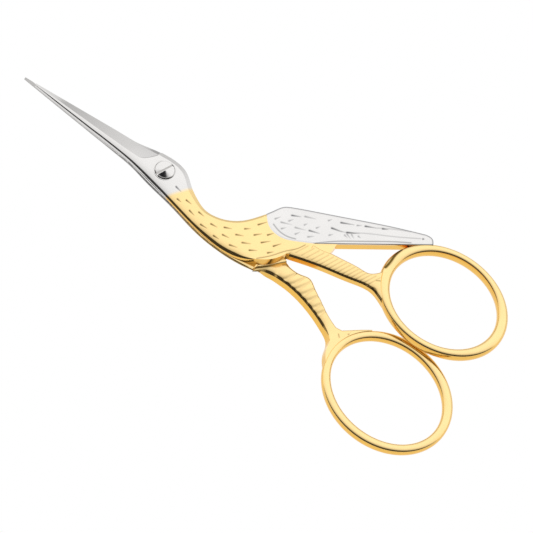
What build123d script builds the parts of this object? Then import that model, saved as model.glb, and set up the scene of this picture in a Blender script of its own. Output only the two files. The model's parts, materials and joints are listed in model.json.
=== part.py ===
from build123d import *
import math
import os

# Stork embroidery scissors, closed, lying flat with the ornamented face up.
# Millimetres. The drawing is made around the axis of the screw: +X runs from the
# screw to the finger rings, +Y to the wing, +Z out of the ornamented face.

os.makedirs("parts", exist_ok=True)

# Overall sizes
LENGTH = 90.0
WIDTH = 37.6

# Heights above the table
LEG_TOP = 1.8
LAP = 2.3
RUNNING_GAP = 0.04
NECK_TOP = 3.35
BODY_TOP = 4.1
NECK_UNDERSIDE = 1.25
BELLY_UNDERSIDE = 0.5
TIP_TOP = 2.95
TIP_UNDERSIDE = 1.75
CLEAR = 3.0

# Blades
EDGE_THICKNESS = 0.12
EDGE_OVERRUN = 1.0
UNDERCUT_LAND = 0.1
UNDERCUT_SLOPE = 0.65

# Rounded and bevelled edges
HEAD_BEVEL = 0.75
HEAD_BEVEL_LEAN = 0.42
LEG_ROUNDING = 0.42
THROAT_ROUNDING = 0.28
WING_ROUNDING = 0.15
EVEN = 1.0
OVERCUT = 0.3
STATION_SPACING = 1.6
FLAT = 0.0
ROUND = 0.414
FEWEST_STATIONS = 5

# Finger rings: half axes as shares of LENGTH and WIDTH, the slant of the long axis, and the middle
FRONT_RING_OUTSIDE_SHARES = (0.1254, 0.2475)
FRONT_RING_INSIDE_SHARES = (0.1049, 0.2149)
FRONT_RING_SLANT = -4.3
FRONT_HOLE_SLANT = -6.3
REAR_RING_OUTSIDE_SHARES = (0.1274, 0.2625)
REAR_RING_INSIDE_SHARES = (0.1123, 0.2213)
REAR_RING_SLANT = -13.3
REAR_HOLE_SLANT = -13.8
FRONT_RING_PLACE_SHARE = (0.548, 0.249)
FRONT_HOLE_PLACE_SHARE = (0.549, 0.251)
REAR_RING_PLACE_SHARE = (0.567, -0.243)
REAR_HOLE_PLACE_SHARE = (0.566, -0.244)
RING_ROUNDING_SHARE = 0.36
RING_ROUNDING = (FRONT_RING_OUTSIDE_SHARES[1] - FRONT_RING_INSIDE_SHARES[1]) * WIDTH * RING_ROUNDING_SHARE
FRONT_RING_DROP = 0.35

# Screw
SCREW_HEAD_RADIUS = 1.62
SCREW_HEAD_SEAT = 2.85
SCREW_HEAD_TOP = 3.65
SCREW_HEAD_ROUNDING = 0.16
SHANK_RADIUS = 1.0
SEAT_CLEARANCE = 0.08
BORE_CLEARANCE = 0.05
THREAD_BITE = 0.02
SLOT_WIDTH = 0.42
SLOT_DEPTH = 0.4
SLOT_DIRECTION = 69.0

# Outlines in plan. Each point is a share of LENGTH along and of WIDTH across,
# counted from the axis of the screw.
FRONT_CUTTING_EDGE_SHARES = [(-0.289, 0.005), (-0.076, 0.049)]
HEAD_AND_BACK_SHARES = [
    (-0.076, 0.049),
    (-0.041, 0.061),
    (0.0, 0.073),
    (0.032, 0.058),
    (0.059, 0.009),
    (0.079, -0.021),
    (0.106, -0.046),
    (0.128, -0.042),
    (0.149, -0.022),
    (0.17, 0.016),
    (0.186, 0.066),
    (0.196, 0.104),
]
SHOULDER_SHARES = [(0.196, 0.104), (0.204, 0.142), (0.213, 0.179), (0.227, 0.201)]
WING_TOP_SHARES = [(0.227, 0.201), (0.324, 0.321), (0.4, 0.413), (0.449, 0.466)]
WING_TIP_SHARES = [(0.449, 0.466), (0.463, 0.466), (0.471, 0.443)]
WING_UNDERSIDE_SHARES = [(0.471, 0.443), (0.332, 0.172)]
CROTCH_SHARES = [(0.332, 0.172), (0.333, 0.122)]
FRONT_LEG_UPPER_SHARES = [
    (0.333, 0.122),
    (0.352, 0.129),
    (0.393, 0.143),
    (0.412, 0.15),
    (0.421, 0.168),
    (0.426, 0.2),
]
FRONT_LEG_END_SHARES = [(0.426, 0.2), (0.45, 0.2), (0.466, 0.064)]
FRONT_LEG_LOWER_SHARES = [
    (0.466, 0.064),
    (0.45, 0.082),
    (0.434, 0.0935),
    (0.393, 0.077),
    (0.333, 0.041),
    (0.271, -0.008),
]
BODY_EDGE_SHARES = [
    (0.271, -0.008),
    (0.267, -0.031),
    (0.258, -0.067),
    (0.248, -0.091),
    (0.236, -0.112),
    (0.22, -0.133),
    (0.201, -0.146),
    (0.182, -0.152),
    (0.16, -0.152),
]
FRONT_THROAT_SHARES = [
    (0.16, -0.152),
    (0.109, -0.138),
    (0.052, -0.108),
    (-0.021, -0.07),
    (-0.061, -0.053),
    (-0.089, -0.046),
    (-0.153, -0.036),
]
FRONT_SPINE_SHARES = [(-0.153, -0.036), (-0.287, -0.011)]
FRONT_TIP_SHARES = [(-0.287, -0.011), (-0.289, 0.005)]

REAR_STRIP_SHARES = [(-0.312, -0.003), (-0.223, -0.025), (-0.144, -0.041), (-0.089, -0.052)]
REAR_THROAT_SHARES = [
    (-0.089, -0.052),
    (-0.058, -0.059),
    (-0.021, -0.079),
    (0.051, -0.112),
    (0.11, -0.145),
    (0.161, -0.158),
    (0.206, -0.154),
    (0.239, -0.141),
]
REAR_LEG_LOWER_SHARES = [
    (0.239, -0.141),
    (0.248, -0.12),
    (0.262, -0.105),
    (0.283, -0.098),
    (0.303, -0.098),
    (0.328, -0.106),
    (0.354, -0.122),
    (0.378, -0.143),
    (0.4, -0.167),
    (0.424, -0.208),
    (0.431, -0.255),
    (0.449, -0.32),
]
REAR_LEG_END_SHARES = [(0.449, -0.32), (0.449, -0.2), (0.477, -0.037)]
REAR_HUMP_SHARES = [(0.477, -0.037), (0.46, -0.07), (0.447, -0.098), (0.434, -0.126)]
REAR_NICK_SHARES = [(0.434, -0.126), (0.423, -0.129)]
REAR_LEG_UPPER_SHARES = [
    (0.423, -0.129),
    (0.395, -0.094),
    (0.372, -0.059),
    (0.346, -0.022),
    (0.326, -0.004),
    (0.307, -0.019),
    (0.292, -0.013),
    (0.278, -0.012),
]
REAR_SHOULDER_SHARES = [
    (0.278, -0.012),
    (0.25, 0.02),
    (0.222, 0.024),
    (0.178, 0.004),
    (0.149, -0.035),
    (0.127, -0.057),
    (0.104, -0.062),
    (0.078, -0.038),
    (0.056, -0.003),
    (0.032, 0.044),
    (0.0, 0.058),
    (-0.041, 0.048),
    (-0.076, 0.041),
]
REAR_SPINE_SHARES = [(-0.076, 0.041), (-0.289, 0.001), (-0.312, -0.003)]
PAD_EDGE_SHARES = [
    (0.238, -0.2),
    (0.239, -0.141),
    (0.24, -0.124),
    (0.245, -0.107),
    (0.252, -0.088),
    (0.261, -0.063),
    (0.27, -0.035),
    (0.276, -0.006),
    (0.286, 0.05),
]
PAD_FAR_SHARES = [(0.286, 0.05), (0.5, 0.05), (0.5, -0.2), (0.238, -0.2)]
ASIDE_SHARE = 1.0

# Where the faces change height, as shares of LENGTH from the screw
GRIND_THICKENS_SHARE = -0.133
FRONT_RISE_SHARES = (0.14, 0.25)
BELLY_DROP_SHARES = (0.13, 0.225, 0.29)
GRIND_TIP_SHARES = {"edge": (-0.3, 0.001), "ridge": (-0.3, -0.008)}
GRIND_MIDDLE_SHARES = {"edge": (-0.13, 0.035), "ridge": (-0.13, -0.0235)}
GRIND_END_SHARES = {"edge": (-0.027, 0.062), "ridge": (-0.057, -0.0255)}


def spot(share, height=0):
    """A point from its shares of the length and the width."""
    along, across = share
    return Vector(along * LENGTH, across * WIDTH, height)


def outline(*stretches):
    """A flat face whose rim follows the stretches, each of them smooth."""
    rim = []
    for stretch in stretches:
        points = [spot(share) for share in stretch]
        straight = len(points) == 2
        rim.append(Line(*points) if straight else Spline(*points))
    return make_face(rim)


def slab(face, bottom, top):
    """The face as a plate between two heights."""
    return Pos(0, 0, bottom) * extrude(face, top - bottom)


def beside(rim):
    """A side view drawn as length and height, made as wide as the object."""
    side = Plane.XZ * make_face(rim)
    return extrude(side, WIDTH, both=True)


def oval(half_axis_shares, slant, place_share):
    """An ellipse whose half axes are shares of the length and the width."""
    long_half, short_half = half_axis_shares
    return Pos(spot(place_share)) * Rot(0, 0, slant) * Ellipse(long_half * LENGTH, short_half * WIDTH)


def ring(outside, inside, outside_slant, inside_slant, outside_place, inside_place, bottom, top):
    """A finger ring with rounded edges."""
    rim = oval(outside, outside_slant, outside_place) - oval(inside, inside_slant, inside_place)
    band = slab(rim, bottom, top)
    edges = band.edges().filter_by(GeomType.LINE, reverse=True)
    return fillet(edges, RING_ROUNDING)


def hole_of(inside, slant, place):
    """The finger hole, taller than both halves."""
    return slab(oval(inside, slant, place), -CLEAR, BODY_TOP + CLEAR)


def front_height():
    """Everything above the face of the front half: tip, blade, neck, then the rise to the body."""
    lower = [share * LENGTH for share in FRONT_RISE_SHARES]
    sky = BODY_TOP + CLEAR
    rise_start = Vector(lower[0], NECK_TOP)
    rise_end = Vector(lower[1], BODY_TOP)
    third = Vector(rise_end.X - rise_start.X, 0) / 3
    rim = [
        Line((-LENGTH, sky), (-LENGTH, TIP_TOP)),
        Line((-LENGTH, TIP_TOP), (FRONT_TIP_SHARES[1][0] * LENGTH, TIP_TOP)),
        Line((FRONT_TIP_SHARES[1][0] * LENGTH, TIP_TOP), (GRIND_THICKENS_SHARE * LENGTH, NECK_TOP)),
        Line((GRIND_THICKENS_SHARE * LENGTH, NECK_TOP), rise_start),
        Bezier(rise_start, rise_start + third, rise_end - third, rise_end),
        Line(rise_end, (LENGTH, BODY_TOP)),
        Line((LENGTH, BODY_TOP), (LENGTH, sky)),
        Line((LENGTH, sky), (-LENGTH, sky)),
    ]
    return beside(rim)


def rear_depth():
    """Everything below the back of the rear half: tip, blade, neck, belly, then the table."""
    neck_end, belly, leg = [share * LENGTH for share in BELLY_DROP_SHARES]
    ground = -CLEAR
    rim = Polyline(
        (-LENGTH, ground),
        (-LENGTH, TIP_UNDERSIDE),
        (REAR_STRIP_SHARES[0][0] * LENGTH, TIP_UNDERSIDE),
        (GRIND_THICKENS_SHARE * LENGTH, NECK_UNDERSIDE),
        (neck_end, NECK_UNDERSIDE),
        (belly, BELLY_UNDERSIDE),
        (leg, 0),
        (leg, ground),
        close=True,
    )
    return beside(rim)


def grind_section(places, ridge_height):
    """One section of what the grinding takes off, from beyond the cutting edge up to the ridge."""
    sky = BODY_TOP + CLEAR
    edge_height = LAP + EDGE_THICKNESS
    edge = spot(places["edge"], edge_height)
    ridge = spot(places["ridge"], ridge_height)
    beyond = (edge - ridge).normalized() * EDGE_OVERRUN
    beyond = Vector(beyond.X, beyond.Y, 0)
    rim = Polyline(
        edge,
        ridge,
        Vector(ridge.X, ridge.Y, sky),
        Vector(edge.X, edge.Y, sky) + beyond,
        edge + beyond,
        close=True,
    )
    return Face(rim.wire())


def grind():
    """The flat ground from the ridge of the front blade down to its cutting edge."""
    tip = grind_section(GRIND_TIP_SHARES, TIP_TOP)
    middle = grind_section(GRIND_MIDDLE_SHARES, NECK_TOP)
    end = grind_section(GRIND_END_SHARES, NECK_TOP)
    return loft([tip, middle], ruled=True) + loft([middle, end], ruled=True)


def undercut():
    """What is taken off under the outer edge of the rear blade and neck, slanting inward on the way down."""
    tip = REAR_STRIP_SHARES[0]
    end = REAR_THROAT_SHARES[-1]
    far_end = (end[0], tip[1] - ASIDE_SHARE)
    far_tip = (tip[0], tip[1] - ASIDE_SHARE)
    outside = outline(REAR_STRIP_SHARES, REAR_THROAT_SHARES, [end, far_end], [far_end, far_tip], [far_tip, tip])
    drop = LAP - UNDERCUT_LAND + CLEAR
    slant = Vector(0, UNDERCUT_SLOPE * drop, -drop)
    start = Pos(0, 0, LAP - UNDERCUT_LAND) * outside
    return extrude(start, amount=slant.length, dir=slant)


def face_height(along):
    """Height of the front half's face at a place along the object, from the neck on."""
    start, end = [share * LENGTH for share in FRONT_RISE_SHARES]
    share = min(max((along - start) / (end - start), 0), 1)
    return NECK_TOP + (BODY_TOP - NECK_TOP) * share * share * (3 - share - share)


def level(height):
    """A height that is the same everywhere."""
    return lambda along: height


def corner_profile(size, bend, lean):
    """What an edge loses, as steps outward and upward from its sharp corner. bend 0 is a flat bevel."""
    middle = -size * (1 - bend) / 2
    far = -size - size - middle
    return [
        (far, -middle * lean),
        (middle, middle * lean),
        (-middle, far * lean),
        (-middle, OVERCUT),
        (far, OVERCUT),
    ]


def eased(stretch, size, height, bend, lean=EVEN):
    """What a bevel or a rounding takes off along a stretch. Its outside is on the left."""
    points = [spot(share) for share in stretch]
    path = Line(*points) if len(points) == 2 else Spline(*points)
    count = max(FEWEST_STATIONS, math.ceil(path.length / STATION_SPACING))
    sections = []
    for step in range(count + 1):
        place = path.position_at(step / count)
        ahead = path.tangent_at(step / count)
        outward = Vector(-ahead.Y, ahead.X, 0)
        lift = Vector(0, 0, 1)
        base = Vector(place.X, place.Y, height(place.X))
        rim = [base + outward * out + lift * up for out, up in corner_profile(size, bend, lean)]
        sections.append(Face(Polyline(*rim, close=True).wire()))
    return loft(sections)


def front_half():
    """Front blade, head, neck, body, wing, upper leg and upper ring in one forging."""
    floor = LAP + RUNNING_GAP
    face = outline(
        FRONT_CUTTING_EDGE_SHARES,
        HEAD_AND_BACK_SHARES,
        SHOULDER_SHARES,
        WING_TOP_SHARES,
        WING_TIP_SHARES,
        WING_UNDERSIDE_SHARES,
        CROTCH_SHARES,
        FRONT_LEG_UPPER_SHARES,
        FRONT_LEG_END_SHARES[:2],
        FRONT_LEG_END_SHARES[1:],
        FRONT_LEG_LOWER_SHARES,
        BODY_EDGE_SHARES,
        FRONT_THROAT_SHARES,
        FRONT_SPINE_SHARES,
        FRONT_TIP_SHARES,
    )
    plate = slab(face, floor, BODY_TOP)
    plate = plate - front_height()
    plate = plate - eased(HEAD_AND_BACK_SHARES, HEAD_BEVEL, face_height, FLAT, HEAD_BEVEL_LEAN)
    plate = plate - eased(FRONT_THROAT_SHARES, THROAT_ROUNDING, face_height, ROUND)
    plate = plate - eased(BODY_EDGE_SHARES, THROAT_ROUNDING, face_height, ROUND)
    plate = plate - eased(FRONT_LEG_LOWER_SHARES, LEG_ROUNDING, face_height, ROUND)
    plate = plate - eased(FRONT_LEG_UPPER_SHARES, LEG_ROUNDING, face_height, ROUND)
    plate = plate - eased(WING_TOP_SHARES, WING_ROUNDING, face_height, ROUND)
    plate = plate - eased(SHOULDER_SHARES, WING_ROUNDING, face_height, ROUND)
    plate = plate - eased(WING_TIP_SHARES, WING_ROUNDING, face_height, ROUND)
    plate = plate - eased(WING_UNDERSIDE_SHARES, WING_ROUNDING, face_height, ROUND)
    plate = plate - grind()
    plate = plate - hole_of(FRONT_RING_INSIDE_SHARES, FRONT_HOLE_SLANT, FRONT_HOLE_PLACE_SHARE)
    loop = ring(
        FRONT_RING_OUTSIDE_SHARES,
        FRONT_RING_INSIDE_SHARES,
        FRONT_RING_SLANT,
        FRONT_HOLE_SLANT,
        FRONT_RING_PLACE_SHARE,
        FRONT_HOLE_PLACE_SHARE,
        floor - FRONT_RING_DROP,
        BODY_TOP,
    )
    half = plate + loop
    seat = slab(Circle(SCREW_HEAD_RADIUS + SEAT_CLEARANCE), SCREW_HEAD_SEAT, BODY_TOP)
    bore = slab(Circle(SHANK_RADIUS + BORE_CLEARANCE), 0, BODY_TOP)
    return half - seat - bore


def rear_half():
    """Rear blade, the half of the neck and body behind, lower leg and lower ring in one forging."""
    face = outline(
        REAR_STRIP_SHARES,
        REAR_THROAT_SHARES,
        REAR_LEG_LOWER_SHARES,
        REAR_LEG_END_SHARES,
        REAR_HUMP_SHARES,
        REAR_NICK_SHARES,
        REAR_LEG_UPPER_SHARES,
        REAR_SHOULDER_SHARES,
        REAR_SPINE_SHARES,
    )
    plate = slab(face, 0, LAP)
    beyond_pad = outline(PAD_EDGE_SHARES, PAD_FAR_SHARES[:2], PAD_FAR_SHARES[1:3], PAD_FAR_SHARES[2:])
    plate = plate - slab(beyond_pad, LEG_TOP, BODY_TOP)
    plate = plate - eased(REAR_LEG_LOWER_SHARES[::-1], LEG_ROUNDING, level(LEG_TOP), ROUND)
    plate = plate - eased(REAR_LEG_UPPER_SHARES[-3:0:-1], LEG_ROUNDING, level(LEG_TOP), ROUND)
    plate = plate - eased(REAR_HUMP_SHARES[::-1], LEG_ROUNDING, level(LEG_TOP), ROUND)
    plate = plate - rear_depth()
    plate = plate - undercut()
    plate = plate - hole_of(REAR_RING_INSIDE_SHARES, REAR_HOLE_SLANT, REAR_HOLE_PLACE_SHARE)
    loop = ring(
        REAR_RING_OUTSIDE_SHARES,
        REAR_RING_INSIDE_SHARES,
        REAR_RING_SLANT,
        REAR_HOLE_SLANT,
        REAR_RING_PLACE_SHARE,
        REAR_HOLE_PLACE_SHARE,
        0,
        LEG_TOP,
    )
    half = plate + loop
    bore = slab(Circle(SHANK_RADIUS - THREAD_BITE), 0, BODY_TOP)
    return half - bore


def pivot_screw():
    """Slotted screw: a low head in its seat, a shank the front half turns on, tight in the rear half."""
    head = slab(Circle(SCREW_HEAD_RADIUS), SCREW_HEAD_SEAT + RUNNING_GAP, SCREW_HEAD_TOP)
    top_edge = head.edges().sort_by(Axis.Z)[-1]
    head = fillet(top_edge, SCREW_HEAD_ROUNDING)
    slot = Pos(0, 0, SCREW_HEAD_TOP) * Rot(0, 0, SLOT_DIRECTION) * Box(LENGTH, SLOT_WIDTH, SLOT_DEPTH + SLOT_DEPTH)
    shank = slab(Circle(SHANK_RADIUS), NECK_UNDERSIDE, SCREW_HEAD_TOP - SLOT_DEPTH)
    return head + shank - slot


pieces = {
    "front_half": front_half(),
    "rear_half": rear_half(),
    "pivot_screw": pivot_screw(),
}

# The origin is moved under the middle of the whole object.
bounds = Compound(children=[Part(piece.wrapped) for piece in pieces.values()]).bounding_box()
middle = bounds.center()
for name, piece in pieces.items():
    placed = Pos(-middle.X, -middle.Y, -bounds.min.Z) * piece
    export_step(placed, os.path.join("parts", name + ".step"))
    print(name, "volume", round(placed.volume, 3), "solids", len(placed.solids()))
print("screw axis at", round(-middle.X, 4), round(-middle.Y, 4), "size", bounds.size)
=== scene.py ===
import json
import math
from functools import partial

import bpy
import numpy as np
from bpy.props import FloatProperty, FloatVectorProperty, PointerProperty
from bpy.types import Operator, Panel, PropertyGroup
from mathutils import Matrix, Vector


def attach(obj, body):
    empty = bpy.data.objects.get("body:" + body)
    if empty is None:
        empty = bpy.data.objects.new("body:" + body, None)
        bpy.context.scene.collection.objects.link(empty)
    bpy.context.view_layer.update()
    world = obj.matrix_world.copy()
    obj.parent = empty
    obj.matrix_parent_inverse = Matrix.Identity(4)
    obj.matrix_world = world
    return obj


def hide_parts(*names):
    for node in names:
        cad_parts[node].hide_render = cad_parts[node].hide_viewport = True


bl_info = {
    "name": "Stork embroidery scissors",
    "version": (1, 0, 0),
    "blender": (4, 5, 0),
    "location": "View3D > Sidebar > Scissors",
    "description": "Gilt and polished surfaces for a closed pair of stork embroidery scissors",
    "category": "Object",
}

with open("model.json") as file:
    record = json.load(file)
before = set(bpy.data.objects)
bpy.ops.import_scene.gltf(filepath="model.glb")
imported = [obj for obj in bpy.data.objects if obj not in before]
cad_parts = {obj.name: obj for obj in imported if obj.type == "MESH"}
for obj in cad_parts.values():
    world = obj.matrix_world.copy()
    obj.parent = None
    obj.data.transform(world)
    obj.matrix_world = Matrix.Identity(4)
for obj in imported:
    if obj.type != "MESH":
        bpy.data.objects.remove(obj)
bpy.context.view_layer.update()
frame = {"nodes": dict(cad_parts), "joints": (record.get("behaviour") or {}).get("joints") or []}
SCREW_AXIS = (*frame["joints"][0]["pos_m"][:2], 0)

# Outlines in plan, as shares of the length along and of the width across, from the screw.
FRONT_TIP = [(-0.289, 0.005), (-0.287, -0.011)]
FRONT_SPINE = [(-0.287, -0.011), (-0.153, -0.036)]
FRONT_THROAT = [
    (-0.153, -0.036), (-0.089, -0.046), (-0.061, -0.053), (-0.021, -0.07), (0.052, -0.108), (0.109, -0.138),
    (0.16, -0.152),
]
BODY_EDGE = [
    (0.16, -0.152), (0.182, -0.152), (0.201, -0.146), (0.22, -0.133), (0.236, -0.112), (0.248, -0.091),
    (0.258, -0.067), (0.267, -0.031), (0.271, -0.008),
]
FRONT_LEG_LOWER = [
    (0.271, -0.008), (0.333, 0.041), (0.393, 0.077), (0.434, 0.0935), (0.45, 0.082), (0.466, 0.064),
]
FRONT_CUTTING_EDGE = [(-0.289, 0.005), (-0.076, 0.049)]
HEAD_AND_BACK = [
    (-0.076, 0.049), (-0.041, 0.061), (0.0, 0.073), (0.032, 0.058), (0.059, 0.009), (0.079, -0.021),
    (0.106, -0.046), (0.128, -0.042), (0.149, -0.022), (0.17, 0.016), (0.186, 0.066), (0.196, 0.104),
]
WING_FRONT = [
    (0.196, 0.104), (0.204, 0.081), (0.215, 0.057), (0.231, 0.043), (0.248, 0.044), (0.27, 0.068),
    (0.3, 0.112),
]
LEDGE_TOP = [(0.299, 0.112), (0.333, 0.176)]
LEDGE_LOW = [(0.299, 0.09), (0.333, 0.11)]
FRONT_LEG_UPPER = [
    (0.3, 0.107), (0.315, 0.11), (0.3265, 0.116), (0.335, 0.122), (0.352, 0.129), (0.393, 0.143),
    (0.412, 0.15), (0.421, 0.168), (0.43, 0.2),
]
LEG_IN_RING = [(0.43, 0.2), (0.444, 0.165), (0.455, 0.125), (0.466, 0.095)]
SHOULDER = [(0.196, 0.104), (0.204, 0.142), (0.213, 0.179), (0.227, 0.201)]
WING_TOP = [(0.227, 0.201), (0.324, 0.321), (0.4, 0.413), (0.449, 0.466)]
WING_TIP = [(0.449, 0.466), (0.463, 0.466), (0.471, 0.443)]
WING_UNDERSIDE = [(0.3, 0.112), (0.471, 0.443)]

REAR_STRIP = [(-0.312, -0.006), (-0.223, -0.025), (-0.144, -0.041), (-0.089, -0.052)]
REAR_THROAT = [
    (-0.089, -0.052), (-0.058, -0.059), (-0.021, -0.079), (0.051, -0.112), (0.11, -0.145), (0.161, -0.158),
    (0.206, -0.154), (0.239, -0.141),
]
PAD_EDGE = [
    (0.239, -0.141), (0.24, -0.124), (0.245, -0.107), (0.252, -0.088), (0.261, -0.063), (0.27, -0.035),
    (0.278, -0.012),
]
REAR_SPINE = [(-0.312, 0.003), (-0.289, 0.005), (-0.076, 0.041)]
REAR_SHOULDER = [
    (-0.076, 0.041), (-0.041, 0.048), (0.0, 0.058), (0.032, 0.044), (0.056, -0.003), (0.078, -0.038),
    (0.104, -0.062), (0.127, -0.057), (0.149, -0.035), (0.178, 0.004), (0.222, 0.024), (0.25, 0.02),
    (0.278, -0.012),
]
REAR_LEG_LOWER = [
    (0.239, -0.141), (0.248, -0.12), (0.262, -0.105), (0.283, -0.098), (0.303, -0.098), (0.328, -0.106),
    (0.354, -0.122), (0.378, -0.143), (0.4, -0.167), (0.424, -0.208), (0.431, -0.255), (0.449, -0.32),
]
REAR_LEG_UPPER = [
    (0.278, -0.012), (0.299, -0.018), (0.311, -0.015), (0.328, -0.006), (0.347, -0.03), (0.369, -0.062),
    (0.401, -0.108), (0.422, -0.13),
]
REAR_NICK = [(0.422, -0.13), (0.434, -0.126)]
REAR_HUMP = [(0.434, -0.126), (0.447, -0.098), (0.46, -0.07), (0.477, -0.037)]
KNEE_IN_RING = [(0.4485, -0.2), (0.46, -0.14), (0.477, -0.06)]

# Rims of the finger rings: half axes and middle as shares of length and width, and slant in degrees.
FRONT_RING = {
    "outside": ((0.1272, 0.2518), (0.548, 0.249), -4.3),
    "inside": ((0.1049, 0.2149), (0.5485, 0.25), -6.3),
}
REAR_RING = {
    "outside": ((0.1292, 0.2668), (0.567, -0.243), -13.3),
    "inside": ((0.1123, 0.2213), (0.566, -0.244), -13.8),
}

# Where faces and backs change height along the length, as shares from the screw, and their heights.
GRIND_THICKENS_SHARE = -0.133
FRONT_RISE_SHARES = (0.14, 0.25)
TIP_TOP = 0.00295
BACK_STATIONS = [(-0.312, 0.00175), (-0.133, 0.00125), (0.13, 0.00125), (0.225, 0.0005), (0.29, 0.0)]

# The front blade's ridge and the arc where its grinding ends, in plan.
RIDGE_SHARES = [(-0.289, -0.009), (-0.13, -0.0235), (-0.057, -0.0255)]
GRIND_END_SHARES = [
    (-0.059, -0.026), (-0.053, -0.022), (-0.043, -0.008), (-0.036, 0.01), (-0.027, 0.041), (-0.025, 0.07),
]

# Engraving, as strokes from one photograph pixel to another on the face they are cut in, and lines of
# painted shade placed the same way.
EYE_STROKES_PX = [((176.2, 186.7), (181.1, 191.6))]
FEATHER_STROKES_PX = [
    ((177.5, 198.8), (181.1, 201.9)), ((186.4, 200.1), (191.5, 204.1)), ((189.6, 210.4), (194.3, 215.3)),
    ((198.9, 212.1), (203.8, 216.2)), ((200.7, 224.2), (207.0, 228.2)), ((211.0, 223.8), (217.2, 227.3)),
    ((213.7, 235.4), (219.0, 238.9)), ((222.6, 234.6), (229.3, 237.9)), ((224.4, 227.3), (231.8, 228.7)),
    ((236.0, 234.5), (243.6, 235.8)), ((229.7, 244.7), (237.3, 247.4)), ((242.2, 242.5), (250.9, 243.8)),
    ((244.9, 228.7), (250.7, 228.7)), ((258.3, 224.6), (267.2, 222.0)), ((254.3, 234.9), (261.9, 233.8)),
    ((267.7, 234.9), (273.5, 233.4)), ((261.4, 242.5), (270.4, 241.2)), ((273.5, 246.1), (281.1, 243.8)),
    ((249.4, 250.1), (257.0, 250.4)), ((267.7, 252.8), (273.5, 251.9)),
]
BODY_CONTOUR_PX = [(256.8, 258.3), (272.0, 255.4), (287.0, 250.7), (296.0, 249.0), (305.2, 244.9)]
WING_ARC_PX = [(273.5, 224.2), (279.2, 231.1), (287.3, 236.5), (295.5, 239.0)]
WING_GROOVE_PX = [
    (313.4, 243.8), (326.1, 242.1), (340.0, 241.3), (363.0, 241.5), (397.4, 242.0), (411.0, 243.0),
]
WING_LONG_LINES_PX = [
    [(331.7, 228.1), (342.4, 232.0), (359.6, 233.2), (388.3, 236.2), (420.4, 238.8)],
    [(375.7, 228.2), (396.0, 229.6), (411.0, 232.0)],
]
WING_DARK_STROKES_PX = [
    ((291.9, 215.4), (301.1, 217.0)), ((309.3, 230.6), (319.7, 233.7)), ((331.7, 228.1), (342.4, 232.0)),
    ((346.8, 232.6), (359.6, 233.6)), ((341.0, 222.7), (354.0, 225.0)), ((365.3, 226.3), (375.7, 228.1)),
    ((382.6, 228.8), (388.3, 229.6)), ((423.0, 239.1), (424.4, 239.2)),
]
WING_STROKES_PX = [
    ((275.2, 218.9), (280.4, 217.0)), ((289.0, 221.0), (293.6, 219.5)), ((305.0, 216.6), (316.0, 219.2)),
    ((281.2, 222.3), (291.9, 225.0)), ((304.5, 225.0), (307.5, 223.8)), ((281.5, 228.7), (286.1, 227.9)),
    ((295.3, 227.6), (305.6, 230.4)), ((295.3, 234.2), (299.9, 232.4)), ((307.9, 237.0), (314.2, 236.5)),
    ((316.5, 228.1), (320.0, 226.9)), ((329.2, 235.3), (333.2, 234.5)), ((328.6, 220.7), (332.0, 219.6)),
    ((357.3, 225.6), (361.9, 225.6)), ((344.7, 235.3), (347.5, 238.2)), ((347.0, 234.2), (350.4, 238.8)),
    ((351.6, 234.7), (353.8, 238.8)), ((358.4, 236.5), (360.7, 238.2)),
]
SCORE_FIRST_PX = (296.0, 252.6)
SCORE_LAST_PX = (368.0, 284.6)
SCORE_STEP_PX = (12.0, -6.6)
SCORE_COUNT = 17
FIRST_NOTCH_PX = (276.9, 273.4)
NOTCHES_PX = [
    (284.9, 279.2), (292.6, 284.1), (297.6, 288.7), (303.7, 294.1), (308.7, 300.6), (314.4, 307.5),
    (319.4, 313.6),
]
NOTCH_BAND_PX = (12.0, -6.5)
REAR_MARKS_PX = [((348.0, 334.2), (349.0, 334.2)), ((338.5, 334.0), (339.2, 337.3))]
FRONT_MARKS_PX = [((384.5, 272.6), (385.3, 272.6)), ((376.3, 280.4), (380.3, 280.9))]
# A shallow groove where the upper leg meets its ring, with painted shade in that crease.
JUNCTION_GROOVE_AND_PAINTED_SHADE_PX = [(366.0, 284.0), (371.0, 286.4), (375.0, 288.0), (377.5, 293.0), (380.0, 297.0)]
# Where a dark crescent of painted shade lies on the upper ring's shoulder.
RING_PAINTED_SHADE_PX = [(385.4, 268.0), (390.0, 262.9), (394.6, 256.4), (400.9, 250.5)]
FRONT_GILDING_PX = [(166.0, 195.5), (191.2, 188.3)]
REAR_GILDING_PX = [(158.0, 190.0), (205.0, 232.0)]

# The photograph's camera.
PHOTO_PIXELS = 533.0
PHOTO_MIDDLE = 266.5
PIXELS_PER_METRE = 6130.0
VIEW_DISTANCE = 0.9
VIEW_ELEVATION = math.radians(60.0)
VIEW_FROM = (0.290, -0.957)
VIEW_LEAN = (0.342, 0.940)
EYE_PX = (165.1, 169.5)
EYE_HEIGHT = 0.0036
SENSOR = 36.0

# The photograph's light: brightness by angle from straight up, negative towards the far side.
LIGHT_STATIONS = [
    (-90.0, 0.42), (-78.0, 0.6), (-62.0, 0.82), (-38.0, 1.02), (-20.0, 0.95), (0.0, 0.82), (20.0, 0.62),
    (36.0, 0.3), (48.0, 0.03), (76.0, 0.03), (90.0, 0.4),
]
HORIZON = 90.0
RAMP_MIDDLE = 0.5
FLOOR_SIZE = 6.0
FLOOR_DROP = 0.00002
CLIP_RATIO = 20

# Each forging's start and end along the length, as shares from the screw, and its places along and across.
SPANS = {
    "front_blade": (-0.2889, -0.015, 420, 90),
    "stork_neck": (-0.015, 0.15, 330, 110),
    "stork_body": (0.15, 0.3, 420, 110),
    "upper_leg": (0.3, 0.4655, 500, 90),
    "ledge": (0.3, 0.3325, 60, 40),
    "wing": (0.1962, 0.4708, 480, 100),
    "rear_blade_and_lap": (-0.3119, 0.2779, 620, 60),
    "lower_leg": (0.2391, 0.4489, 520, 80),
    "lower_knee": (0.4487, 0.4767, 70, 40),
}

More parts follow.
